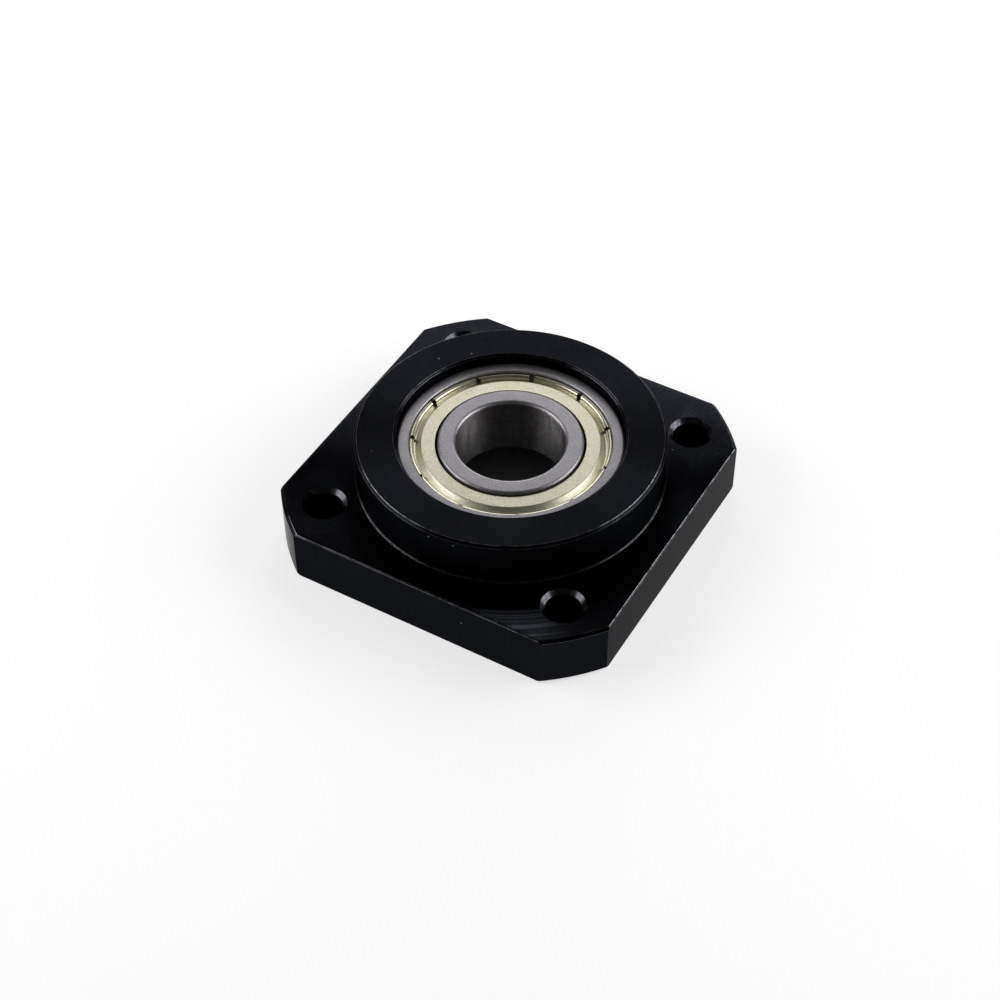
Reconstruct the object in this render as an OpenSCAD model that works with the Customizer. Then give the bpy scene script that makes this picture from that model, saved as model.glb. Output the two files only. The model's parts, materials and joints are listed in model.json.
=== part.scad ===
// Ball screw end support: a square flanged housing with a turned pilot boss,
// holding one shielded deep-groove ball bearing for the floating end of the screw.
// Millimetres. The screw's axis is Z, and the flange's back face lies on z = 0.

/* [Flange] */
// Width across the flange's flat sides
flange_width = 68; // [64:0.5:76]
// Width of the rim from the hole circle out to the flange's round corners
rim_margin = 7.5; // [6:0.5:12]
// Thickness of the flange
flange_thickness = 11; // [9:0.5:20]
// Chamfer along the milled sides, on both faces of the flange
side_chamfer = 0.2; // [0.1:0.05:0.6]
// Chamfer on the turned round corners, on both faces of the flange
corner_chamfer = 0.6; // [0.2:0.1:1]

/* [Pilot boss] */
// Diameter of the boss that centres the support in its mounting plate
boss_diameter = 57; // [50:0.5:60]
// Height of the boss above the flange
boss_height = 9; // [8:0.5:20]
// Chamfer on the boss's outer edge
boss_chamfer = 0.5; // [0.2:0.1:1]
// Radius that the turning tool leaves at the boss's foot
foot_fillet = 0.4; // [0.2:0.1:0.8]

/* [Screw holes] */
// Diameter of the circle through the four hole centres
hole_circle = 70; // [68:0.5:72]
// Diameter of each clearance hole
hole_diameter = 6.6; // [5.5:0.1:7]
// Chamfer at the mouth of each hole on the boss side
hole_chamfer = 0.8; // [0.3:0.1:1]
// Diameter of the counterbore for the screw's head
counterbore_diameter = 11; // [9:0.5:12]
// Depth of the counterbore from the back face
counterbore_depth = 6.5; // [4:0.5:8]

/* [Bearing seat] */
// Depth of the bearing's face below the boss's face
bearing_recess = 2; // [1:0.1:4]
// Chamfer at the mouths of the seat and of the bore behind it
seat_chamfer = 0.35; // [0.2:0.05:0.8]
// Height of the shoulder that the outer ring rests on
seat_shoulder = 3; // [2:0.25:4]

/* [Bearing rings] */
// Bore of the inner ring, which carries the screw's journal
bearing_bore = 20; // [19:0.5:21]
// Outer diameter of the bearing
bearing_diameter = 42; // [41:0.5:44]
// Width of both rings
bearing_width = 12; // [11:0.5:14]
// Radius on the bore's edges
bore_corner = 0.7; // [0.3:0.1:1]
// Radius on the outer ring's outer edges
outer_corner = 0.7; // [0.3:0.1:1]
// Radius on the inner ring's outer edges
land_corner = 0.5; // [0.2:0.1:0.8]
// Depth of each raceway below the ring's land
race_depth = 1.075; // [0.8:0.025:1.3]
// Groove radius as a share of the ball's diameter
race_conformity = 0.52; // [0.515:0.005:0.54]

/* [Balls and cage] */
// Diameter of each ball
ball_diameter = 6.35; // [5.95:0.05:6.55]
// Number of balls
ball_count = 9; // [7:1:9]
// Thickness of the cage's strip
cage_thickness = 0.7; // [0.5:0.05:0.8]
// Width of the cage's strip, across the pitch circle
cage_width = 2.6; // [2:0.1:3]
// Diameter of a cage rivet's shank
rivet_diameter = 1.2; // [0.8:0.1:1.4]
// Diameter of a cage rivet's head
rivet_head_diameter = 1.9; // [1.5:0.1:2.1]
// Height of a cage rivet's head
rivet_head_height = 0.35; // [0.2:0.05:0.5]

/* [Shields] */
// Thickness of the shield's sheet
shield_thickness = 0.3; // [0.2:0.05:0.4]
// Depth of the shield's flat below the rings' faces
shield_recess = 0.55; // [0.4:0.05:0.8]
// Width of the formed rim, from the flat's edge to the ring's lip
rim_width = 2.2; // [2:0.05:2.5]
// Depth of the valley between the flat and the tabs
valley_depth = 1; // [0.8:0.05:1.1]
// Width of the valley's floor
valley_width = 0.35; // [0.2:0.05:0.6]
// Number of crimped tabs round the rim
tab_count = 11; // [6:1:16]
// Width of the slit between two tabs
slit_width = 0.35; // [0.2:0.05:0.6]
// Radius of the rounded mouth at the foot of each slit
slit_mouth = 0.45; // [0.3:0.05:0.6]
// Place of the first slit, as a share of the pitch from slit to slit
slit_phase = 0.27; // [0:0.01:1]
// How far the tabs' tips reach past the outer ring's lip
tab_reach = 0.3; // [0.2:0.05:0.4]
// Length of the flat at the end of each tab
tab_flat = 0.15; // [0.1:0.05:0.2]
// Depth of the step in the outer ring's land that takes the rim
land_step = 1; // [0.8:0.1:1.2]
// Chamfer on the outer ring's lip
lip_chamfer = 0.12; // [0.1:0.02:0.3]

/* [Clearances] */
// Radial gap between the outer ring and its seat
seat_gap = 0.01; // [0.005:0.005:0.05]
// Gap between a ball and the bottom of each raceway
race_gap = 0.02; // [0.01:0.01:0.05]
// Gap between a ball and its pocket
pocket_gap = 0.1; // [0.05:0.05:0.2]
// Radial gap between a rivet's shank and its hole
rivet_gap = 0.02; // [0.01:0.01:0.05]
// Radial gap between a shield and the inner ring
shield_gap = 0.45; // [0.3:0.05:0.6]
// Gap round the tabs' tips in the outer ring's groove
groove_gap = 0.03; // [0.02:0.01:0.1]
// Room left under the tabs' tips in the groove
crimp_room = 0.3; // [0.2:0.05:0.4]

/* [Hidden] */
$fn = 96;
// How far a cut runs past the faces that it opens
overrun = 1;

flange_diameter = hole_circle + 2 * rim_margin;
support_length = flange_thickness + boss_height;
boss_radius = boss_diameter / 2;
hole_radius = hole_diameter / 2;
corner_angles = [45, 135, 225, 315];

bearing_top = support_length - bearing_recess;
bearing_middle = bearing_top - bearing_width / 2;
seat_floor = bearing_top - bearing_width;
bearing_radius = bearing_diameter / 2;
seat_radius = bearing_radius + seat_gap;
back_bore_radius = bearing_radius - seat_shoulder;

// The bearing's own sizes are radii, and heights above its middle plane.
half_width = bearing_width / 2;
bore_radius = bearing_bore / 2;
pitch_radius = (bore_radius + bearing_radius) / 2;
ball_radius = ball_diameter / 2;
race_radius = race_conformity * ball_diameter;
inner_race_centre = pitch_radius - ball_radius - race_gap + race_radius;
outer_race_centre = pitch_radius + ball_radius + race_gap - race_radius;
inner_land_radius = pitch_radius - ball_radius + race_depth;
outer_land_radius = pitch_radius + ball_radius - race_depth;

// The tabs are quarter rounds that swell out of the valley into the outer ring's groove.
tab_radius = valley_depth;
lip_radius = outer_land_radius + land_step;
flat_radius = lip_radius - rim_width;
tab_tip = lip_radius + tab_reach;
tab_centre = tab_tip - tab_flat;
valley_radius = tab_centre - tab_radius;
flat_top = half_width - shield_recess;
valley_top = flat_top - valley_depth;
valley_bottom = valley_top - shield_thickness;
groove_radius = tab_tip + groove_gap;
groove_top = valley_top + tab_radius + groove_gap;
groove_bottom = groove_top - shield_thickness - crimp_room;
shield_hole_radius = inner_land_radius + shield_gap;

ball_pitch = 360 / ball_count;
pocket_radius = ball_radius + pocket_gap;
shell_radius = pocket_radius + cage_thickness;
cage_inner_radius = pitch_radius - cage_width / 2;
cage_outer_radius = pitch_radius + cage_width / 2;
rivet_radius = rivet_diameter / 2;
rivet_hole_radius = rivet_radius + rivet_gap;

housing_black = [0.11, 0.11, 0.13];
ring_steel = [0.72, 0.71, 0.74];
shield_zinc = [0.84, 0.83, 0.75];
ball_steel = [0.80, 0.80, 0.82];
cage_steel = [0.58, 0.58, 0.60];
rivet_steel = [0.66, 0.65, 0.63];

ball_names = [for (i = [1 : ball_count]) str("ball_", i)];

// ---- Placing ----

// Puts something made about the bearing's centre where the bearing sits.
module in_bearing() {
    translate([0, 0, bearing_middle])
        children();
}

// Copies its children to a radius at each of the angles given.
module at_angles(angles, radius) {
    for (angle = angles)
        rotate([0, 0, angle])
            translate([radius, 0, 0])
                children();
}

function ball_angles() = [for (i = [0 : ball_count - 1]) i * ball_pitch];
function rivet_angles() = [for (angle = ball_angles()) angle + ball_pitch / 2];

// ---- Housing ----

// Section of a plate with all four edges chamfered, from -reach to +reach.
module plate_section(reach, chamfer) {
    inner = reach - chamfer;
    high = flange_thickness - chamfer;
    polygon([
        [-reach, chamfer], [-inner, 0], [inner, 0], [reach, chamfer],
        [reach, high], [inner, flange_thickness], [-inner, flange_thickness], [-reach, high]
    ]);
}

// A plate section run straight across the flange, standing on its edge.
module straight_plate() {
    rotate([90, 0, 0])
        linear_extrude(height = flange_diameter + 2 * overrun, center = true)
            plate_section(flange_width / 2, side_chamfer);
}

// Square plate with its corners turned to the flange's diameter.
module flange() {
    intersection() {
        straight_plate();
        rotate([0, 0, 90])
            straight_plate();
        rotate_extrude()
            intersection() {
                plate_section(flange_diameter / 2, corner_chamfer);
                square([flange_diameter, flange_thickness]);
            }
    }
}

// Pilot boss, with the tool's radius at its foot.
module boss() {
    shoulder = boss_radius - boss_chamfer;
    rotate_extrude() {
        polygon([
            [0, flange_thickness / 2], [boss_radius, flange_thickness / 2],
            [boss_radius, support_length - boss_chamfer], [shoulder, support_length],
            [0, support_length]
        ]);
        translate([boss_radius, flange_thickness])
            foot_section();
    }
}

// Corner between the boss and the flange, filled to a concave radius.
module foot_section() {
    difference() {
        translate([-foot_fillet, -foot_fillet])
            square(2 * foot_fillet);
        translate([foot_fillet, foot_fillet])
            circle(r = foot_fillet);
    }
}

// Everything that is bored out along the axis: seat, shoulder and back bore.
module bores() {
    back_mouth = back_bore_radius + seat_chamfer;
    seat_mouth = seat_radius + seat_chamfer;
    rotate_extrude()
        polygon([
            [0, -overrun], [back_mouth + overrun, -overrun],
            [back_bore_radius, seat_chamfer], [back_bore_radius, seat_floor],
            [seat_radius, seat_floor], [seat_radius, support_length - seat_chamfer],
            [seat_mouth + overrun, support_length + overrun], [0, support_length + overrun]
        ]);
}

// One clearance hole, chamfered on the boss side and counterbored from the back.
module screw_hole() {
    mouth = hole_radius + hole_chamfer;
    rotate_extrude()
        polygon([
            [0, -overrun], [counterbore_diameter / 2, -overrun],
            [counterbore_diameter / 2, counterbore_depth], [hole_radius, counterbore_depth],
            [hole_radius, flange_thickness - hole_chamfer],
            [mouth + overrun, flange_thickness + overrun], [0, flange_thickness + overrun]
        ]);
}

module housing() {
    color(housing_black)
        difference() {
            union() {
                flange();
                boss();
            }
            bores();
            at_angles(corner_angles, hole_circle / 2)
                screw_hole();
        }
}

// ---- Bearing rings ----

// Square corner of a ring's section, to be cut away outside a radius.
module corner_cut(radius) {
    difference() {
        square(radius + overrun);
        circle(r = radius);
    }
}

// Repeats its children above and below the bearing's middle plane.
module both_sides() {
    children();
    mirror([0, 1])
        children();
}

module outer_ring() {
    color(ring_steel)
        in_bearing()
            rotate_extrude()
                difference() {
                    translate([outer_land_radius, -half_width])
                        square([bearing_radius - outer_land_radius, bearing_width]);
                    translate([outer_race_centre, 0])
                        circle(r = race_radius);
                    both_sides() {
                        shield_groove();
                        translate([bearing_radius - outer_corner, half_width - outer_corner])
                            corner_cut(outer_corner);
                    }
                }
}

// Step, groove and lip that hold a shield's rim in the outer ring.
module shield_groove() {
    lip_edge = half_width - lip_chamfer;
    polygon([
        [outer_land_radius - overrun, valley_bottom], [lip_radius, valley_bottom],
        [lip_radius, groove_bottom], [groove_radius, groove_bottom],
        [groove_radius, groove_top], [lip_radius, groove_top],
        [lip_radius, lip_edge], [lip_radius + lip_chamfer, half_width],
        [lip_radius + lip_chamfer, half_width + overrun],
        [outer_land_radius - overrun, half_width + overrun]
    ]);
}

module inner_ring() {
    color(ring_steel)
        in_bearing()
            rotate_extrude()
                difference() {
                    translate([bore_radius, -half_width])
                        square([inner_land_radius - bore_radius, bearing_width]);
                    translate([inner_race_centre, 0])
                        circle(r = race_radius);
                    both_sides() {
                        translate([inner_land_radius - land_corner, half_width - land_corner])
                            corner_cut(land_corner);
                        translate([bore_radius + bore_corner, half_width - bore_corner])
                            mirror([1, 0])
                                corner_cut(bore_corner);
                    }
                }
}

// ---- Shields ----

// Sheet section: flat, bevel down to the valley, and a tab that swells into the groove.
module shield_section() {
    bevel_foot = valley_radius - valley_width;
    polygon([
        [shield_hole_radius, flat_top - shield_thickness],
        [flat_radius - shield_thickness / 2, flat_top - shield_thickness],
        [bevel_foot - shield_thickness / 2, valley_bottom],
        [valley_radius + shield_thickness, valley_bottom],
        [valley_radius + shield_thickness, valley_top], [bevel_foot, valley_top],
        [flat_radius, flat_top], [shield_hole_radius, flat_top]
    ]);
    tab_section();
}

// Quarter round of the tabs, and the flat at its end that hooks into the groove.
module tab_section() {
    translate([tab_centre, valley_top]) {
        intersection() {
            difference() {
                circle(r = tab_radius);
                circle(r = tab_radius - shield_thickness);
            }
            translate([-tab_radius, 0])
                square(tab_radius);
        }
        translate([0, tab_radius - shield_thickness])
            square([tab_flat, shield_thickness]);
    }
}

// One slit through the rim, with a rounded mouth where it meets the valley.
module slit() {
    slit_length = groove_radius - valley_radius + overrun;
    translate([valley_radius - slit_mouth / 2, 0, valley_top]) {
        translate([0, -slit_width / 2, 0])
            cube([slit_length, slit_width, tab_radius + overrun]);
        cylinder(r = slit_mouth, h = tab_radius + overrun);
    }
}

// A shield as it lies in the bearing's upper face.
module shield() {
    slit_angles = [for (i = [0 : tab_count - 1]) (i + slit_phase) * 360 / tab_count];
    difference() {
        rotate_extrude()
            shield_section();
        at_angles(slit_angles, 0)
            slit();
    }
}

module front_shield() {
    color(shield_zinc)
        in_bearing()
            shield();
}

module rear_shield() {
    color(shield_zinc)
        in_bearing()
            mirror([0, 0, 1])
                shield();
}

// ---- Balls and cage ----

module ball(index) {
    color(ball_steel)
        in_bearing()
            at_angles([ball_angles()[index - 1]], pitch_radius)
                sphere(r = ball_radius);
}

// One pressed half of the ribbon cage: flat webs between half-round pockets.
module cage_half() {
    difference() {
        intersection() {
            union() {
                cylinder(r = cage_outer_radius + overrun, h = cage_thickness);
                at_angles(ball_angles(), pitch_radius)
                    sphere(r = shell_radius);
            }
            linear_extrude(height = shell_radius + overrun)
                difference() {
                    circle(r = cage_outer_radius);
                    circle(r = cage_inner_radius);
                }
        }
        at_angles(ball_angles(), pitch_radius)
            sphere(r = pocket_radius);
        at_angles(rivet_angles(), pitch_radius)
            cylinder(r = rivet_hole_radius, h = 2 * (cage_thickness + overrun), center = true);
    }
}

module front_cage() {
    color(cage_steel)
        in_bearing()
            cage_half();
}

module rear_cage() {
    color(cage_steel)
        in_bearing()
            mirror([0, 0, 1])
                cage_half();
}

// A rivet's flared head, standing on z = 0.
module rivet_head() {
    cylinder(r1 = rivet_head_diameter / 2, r2 = rivet_radius, h = rivet_head_height);
}

module cage_rivets() {
    color(rivet_steel)
        in_bearing()
            at_angles(rivet_angles(), pitch_radius) {
                cylinder(r = rivet_radius, h = 2 * cage_thickness, center = true);
                translate([0, 0, cage_thickness])
                    rivet_head();
                translate([0, 0, -cage_thickness])
                    mirror([0, 0, 1])
                        rivet_head();
            }
}

housing();
outer_ring();
inner_ring();
front_shield();
rear_shield();
front_cage();
rear_cage();
cage_rivets();
for (i = [1 : ball_count])
    ball(i);
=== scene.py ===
"""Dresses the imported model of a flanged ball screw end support.

The support is a square flanged housing of black-oxidised steel with a turned pilot
boss, and one shielded deep-groove ball bearing in it. Sizes are in millimetres, and
the meshes are made in metres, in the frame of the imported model. The bearing's own
sizes are radii from the screw's axis and heights above its middle plane.
"""

import json
import logging
import math
from dataclasses import dataclass
from enum import Enum
from typing import Any, Callable, Sequence

import bpy
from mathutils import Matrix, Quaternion, Vector


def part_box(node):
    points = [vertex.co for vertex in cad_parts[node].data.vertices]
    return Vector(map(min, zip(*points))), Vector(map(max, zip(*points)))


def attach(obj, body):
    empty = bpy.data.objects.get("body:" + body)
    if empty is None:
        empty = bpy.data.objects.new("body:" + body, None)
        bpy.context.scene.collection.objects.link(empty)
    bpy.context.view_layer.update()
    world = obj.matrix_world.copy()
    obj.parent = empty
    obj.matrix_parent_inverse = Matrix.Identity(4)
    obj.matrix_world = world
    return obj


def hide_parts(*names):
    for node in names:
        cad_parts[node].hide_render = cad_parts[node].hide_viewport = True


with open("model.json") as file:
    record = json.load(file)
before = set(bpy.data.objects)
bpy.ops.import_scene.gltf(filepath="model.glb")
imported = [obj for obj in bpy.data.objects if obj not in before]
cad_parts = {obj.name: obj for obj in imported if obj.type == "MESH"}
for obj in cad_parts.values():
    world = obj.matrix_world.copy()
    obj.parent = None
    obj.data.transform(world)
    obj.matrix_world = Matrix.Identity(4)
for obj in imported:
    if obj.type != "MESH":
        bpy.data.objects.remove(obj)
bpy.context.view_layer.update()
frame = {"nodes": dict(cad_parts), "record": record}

MM = 0.001
SHARP_ANGLE = math.radians(30)
LOG = logging.getLogger("end_support")

Point = tuple[float, float]
Corner = tuple[float, float, float]
Colour = tuple[float, float, float, float]
Socket = bpy.types.NodeSocket
Value = float | int | tuple | Socket


class Axis(Enum):
    """Axis that an outline runs along."""

    Y = "Y"
    Z = "Z"


class Ring(Enum):
    """A ring of the bearing, with the side of the balls that it lies on."""

    INNER = -1
    OUTER = 1


class Body(Enum):
    """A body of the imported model, and the pieces that move with it."""

    HOUSING = "housing_body"
    INNER_RING = "inner_ring_body"
    CAGE = "cage_body"


class Slot(Enum):
    """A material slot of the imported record."""

    OXIDE = "black_oxide_steel"
    RING = "bearing_steel"
    SHIELD = "zinc_plated_shield"
    CAGE = "cage_strip"


def mount_of(name: str) -> dict[str, Any]:
    """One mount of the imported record, by its name."""
    return next(mount for mount in frame["record"]["mounts"] if mount["name"] == name)


# ---- Nodes and colours ----


def linear(colour: str) -> Colour:
    """Turns an sRGB hex colour into linear light.

    Args:
        colour: Six hex digits after a hash.

    Returns:
        Red, green, blue and an alpha of one.
    """
    shares = [int(colour[place : place + 2], 16) / 255 for place in (1, 3, 5)]
    light = [c / 12.92 if c <= 0.04045 else ((c + 0.055) / 1.055) ** 2.4 for c in shares]
    return (*light, 1.0)


def add_node(
    tree: bpy.types.NodeTree,
    kind: str,
    inputs: dict[str | int, Value] | None = None,
    **settings: Any,
) -> bpy.types.Node:
    """Adds one node, with its settings and what goes into it.

    Args:
        tree: Tree that takes the node.
        kind: Blender's type name for the node.
        inputs: Values or output sockets, by the name or place of the input.
        **settings: The node's own options.

    Returns:
        The new node.
    """
    made = tree.nodes.new(kind)
    for name, value in settings.items():
        setattr(made, name, value)
    for key, value in (inputs or {}).items():
        if isinstance(value, Socket):
            tree.links.new(value, made.inputs[key])
        else:
            made.inputs[key].default_value = value
    return made


# ---- Sections and meshes ----


def rounded(corners: Sequence[Corner], steps: int = 4) -> list[Point]:
    """Rounds each corner of a closed section to its own radius.

    Args:
        corners: Two coordinates and the radius of each corner, in order.
        steps: Straight pieces in each rounded corner.

    Returns:
        The section's points, in order.
    """
    outline: list[Point] = []
    for index, (x, y, radius) in enumerate(corners):
        here = Vector((x, y))
        if radius == 0:
            outline.append((x, y))
            continue
        before = (Vector(corners[index - 1][:2]) - here).normalized()
        after = (Vector(corners[(index + 1) % len(corners)][:2]) - here).normalized()
        half = before.angle(after) / 2
        centre = here + (before + after).normalized() * (radius / math.sin(half))
        reach = radius / math.tan(half)
        start = here + before * reach - centre
        end = here + after * reach - centre
        first = math.atan2(start.y, start.x)
        sweep = (math.atan2(end.y, end.x) - first + math.pi) % math.tau - math.pi
        for step in range(steps + 1):
            angle = first + sweep * step / steps
            outline.append(
                (centre.x + radius * math.cos(angle), centre.y + radius * math.sin(angle))
            )
    return outline


def arc(centre: Point, radius: float, first: float, last: float, steps: int) -> list[Corner]:
    """Points along an arc, as corners that are not rounded again.

    Args:
        centre: The arc's centre.
        radius: The arc's radius.
        first: Angle of the first point, in degrees.
        last: Angle of the last point, in degrees.
        steps: Straight pieces in the arc.

    Returns:
        The points, in order.
    """
    x, y = centre
    angles = [math.radians(first + (last - first) * step / steps) for step in range(steps + 1)]
    return [(x + radius * math.cos(angle), y + radius * math.sin(angle), 0.0) for angle in angles]


def both_halves(upper: Sequence[Corner]) -> list[Corner]:
    """Adds to the upper half of a section its mirror image below the middle plane."""
    return [*upper, *((x, -y, radius) for x, y, radius in reversed(upper))]


def host_of(mesh: bpy.types.Mesh) -> bpy.types.Object:
    """Puts a mesh in the scene so that modifiers can work on it.

    Args:
        mesh: The mesh.

    Returns:
        The object that holds it.
    """
    host = bpy.data.objects.new(mesh.name, mesh)
    bpy.context.scene.collection.objects.link(host)
    return host


def plain_mesh(host: bpy.types.Object) -> bpy.types.Mesh:
    """Turns an object and its modifiers into one plain mesh.

    Args:
        host: The object, which is removed.

    Returns:
        The mesh with every modifier worked in.
    """
    bpy.context.view_layer.update()
    graph = bpy.context.evaluated_depsgraph_get()
    mesh = bpy.data.meshes.new_from_object(host.evaluated_get(graph))
    bpy.data.objects.remove(host)
    return mesh


def carved(blank: bpy.types.Mesh, cutters: bpy.types.Mesh) -> bpy.types.Mesh:
    """Cuts closed shapes out of a closed blank.

    Args:
        blank: What is cut.
        cutters: Everything that is taken away.

    Returns:
        The carved mesh.
    """
    host, tool = host_of(blank), host_of(cutters)
    cut = host.modifiers.new("Cut", "BOOLEAN")
    cut.operation, cut.solver, cut.object = "DIFFERENCE", "EXACT", tool
    mesh = plain_mesh(host)
    bpy.data.objects.remove(tool)
    return mesh


def prism(
    name: str, outline: Sequence[Point], low: float, high: float, along: Axis
) -> bpy.types.Mesh:
    """Runs a closed outline straight along an axis.

    Args:
        name: Name of the mesh.
        outline: Points across the axis, in millimetres.
        low: Where the prism starts.
        high: Where the prism ends.
        along: The axis. Along Y the outline's points are in X and Z.

    Returns:
        The closed prism.
    """
    count = len(outline)
    corners = []
    for place in (low, high):
        for x, y in outline:
            spot = (x, place, y) if along is Axis.Y else (x, y, place)
            corners.append([c * MM for c in spot])
    sides = [(i, (i + 1) % count, count + (i + 1) % count, count + i) for i in range(count)]
    ends = [tuple(reversed(range(count))), tuple(range(count, 2 * count))]
    mesh = bpy.data.meshes.new(name)
    mesh.from_pydata(corners, [], sides + ends)
    return mesh


def signed_volume(mesh: bpy.types.Mesh) -> float:
    """Measures the volume inside a closed mesh.

    Args:
        mesh: The mesh.

    Returns:
        Cubic metres, below zero where its faces point inwards.
    """
    mesh.calc_loop_triangles()
    spots = [vertex.co for vertex in mesh.vertices]
    return sum(
        spots[a].dot(spots[b].cross(spots[c])) / 6
        for a, b, c in (tuple(triangle.vertices) for triangle in mesh.loop_triangles)
    )


# ---- Geometry Nodes ----


class NodeTool:
    """A Geometry Nodes tree with named inputs that is run on one mesh at a time."""

    def __init__(self, name: str, inputs: dict[str, str]) -> None:
        """Makes the tree's inputs and output.

        Args:
            name: Name of the tree.
            inputs: Socket type of each named size.
        """
        self.tree = bpy.data.node_groups.new(name, "GeometryNodeTree")
        sockets = self.tree.interface
        sockets.new_socket("Geometry", in_out="INPUT", socket_type="NodeSocketGeometry")
        self.identifiers = {
            label: sockets.new_socket(label, in_out="INPUT", socket_type=kind).identifier
            for label, kind in {**inputs, "Material": "NodeSocketMaterial"}.items()
        }
        sockets.new_socket("Geometry", in_out="OUTPUT", socket_type="NodeSocketGeometry")
        self.given = add_node(self.tree, "NodeGroupInput").outputs

    def close(self, geometry: Socket) -> None:
        """Ends the tree: instances are made real and the material is set.

        Args:
            geometry: What the tree has made.
        """
        solid = add_node(self.tree, "GeometryNodeRealizeInstances", {0: geometry}).outputs[0]
        dressed = add_node(
            self.tree, "GeometryNodeSetMaterial", {0: solid, "Material": self.given["Material"]}
        )
        add_node(self.tree, "NodeGroupOutput", {0: dressed.outputs[0]})

    def run(self, source: bpy.types.Mesh, **sizes: Any) -> bpy.types.Mesh:
        """Runs the tree.

        Args:
            source: Mesh that goes in.
            **sizes: Value of each named input, with its spaces written as underscores.

        Returns:
            The plain mesh that comes out, its faces pointing outwards.
        """
        host = host_of(source)
        modifier = host.modifiers.new(self.tree.name, "NODES")
        modifier.node_group = self.tree
        for label, value in sizes.items():
            modifier[self.identifiers[label.replace("_", " ")]] = value
        mesh = plain_mesh(host)
        if signed_volume(mesh) < 0:
            mesh.flip_normals()
        return mesh


class Lathe(NodeTool):
    """Turns a closed section once about the Z axis."""

    def __init__(self) -> None:
        """Builds the tree: a circle of spindle steps carries the section round."""
        super().__init__("Lathe", {"Spindle Radius": "NodeSocketFloat", "Steps": "NodeSocketInt"})
        section = add_node(
            self.tree, "GeometryNodeMeshToCurve", {"Mesh": self.given["Geometry"]}
        ).outputs[0]
        circle = add_node(
            self.tree,
            "GeometryNodeCurvePrimitiveCircle",
            {"Radius": self.given["Spindle Radius"], "Resolution": self.given["Steps"]},
        ).outputs[0]
        level = add_node(self.tree, "GeometryNodeSetCurveNormal", {"Curve": circle}, mode="Z_UP")
        turned = add_node(
            self.tree,
            "GeometryNodeCurveToMesh",
            {"Curve": level.outputs[0], "Profile Curve": section},
        ).outputs[0]
        closed = add_node(
            self.tree, "GeometryNodeMergeByDistance", {"Geometry": turned, "Distance": 0.001 * MM}
        )
        self.close(closed.outputs[0])

    def turn(
        self, name: str, outline: Sequence[Point], lift: float = 0.0, steps: int = 320
    ) -> bpy.types.Mesh:
        """Turns one section. The spindle's circle has a size, so the section is set back by it.

        Args:
            name: Name of the section's mesh.
            outline: Radius and height of each point, in millimetres.
            lift: Height added to every point.
            steps: Steps round the full turn.

        Returns:
            The turned mesh.
        """
        spindle = 1.0
        count = len(outline)
        section = bpy.data.meshes.new(name)
        section.from_pydata(
            [((radius - spindle) * MM, -(height + lift) * MM, 0.0) for radius, height in outline],
            [(index, (index + 1) % count) for index in range(count)],
            [],
        )
        return self.run(section, Spindle_Radius=spindle * MM, Steps=steps)


class DividingHead(NodeTool):
    """Repeats a mesh at equal angles about the Z axis."""

    def __init__(self) -> None:
        """Builds the tree: one instance for each index, turned by its share of a circle."""
        super().__init__("Dividing head", {"Count": "NodeSocketInt", "Turn": "NodeSocketFloat"})
        points = add_node(self.tree, "GeometryNodePoints", {"Count": self.given["Count"]})
        pitch = add_node(
            self.tree, "ShaderNodeMath", {0: math.tau, 1: self.given["Count"]}, operation="DIVIDE"
        ).outputs[0]
        index = add_node(self.tree, "GeometryNodeInputIndex").outputs[0]
        angle = add_node(
            self.tree,
            "ShaderNodeMath",
            {0: index, 1: pitch, 2: self.given["Turn"]},
            operation="MULTIPLY_ADD",
        ).outputs[0]
        rotation = add_node(self.tree, "ShaderNodeCombineXYZ", {"Z": angle}).outputs[0]
        copies = add_node(
            self.tree,
            "GeometryNodeInstanceOnPoints",
            {"Points": points.outputs[0], "Instance": self.given["Geometry"], "Rotation": rotation},
        )
        self.close(copies.outputs[0])

    def repeat(self, piece: bpy.types.Mesh, count: int, turn: float = 0.0) -> bpy.types.Mesh:
        """Repeats one piece.

        Args:
            piece: Mesh in its place at angle zero.
            count: Number of copies.
            turn: Angle of the first copy, in degrees.

        Returns:
            All the copies in one mesh.
        """
        return self.run(piece, Count=count, Turn=math.radians(turn))


# ---- Finishes ----


@dataclass
class SurfaceCoordinates:
    """Sockets that say where on a piece a point is, in millimetres.

    Fields:
        tree: The material's tree, which holds them.
        place: The point itself.
        radius: Distance from the screw's axis.
        height: Height above the flange's back face.
        facing: How far the surface faces up or down, from 0 to 1.
        edge: Where a face rounds over into a chamfer or a wall, from 0 to 1.
        across: Direction across the marks of a turning tool.
    """

    tree: bpy.types.NodeTree
    place: Socket
    radius: Socket
    height: Socket
    facing: Socket
    edge: Socket
    across: Socket


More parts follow.
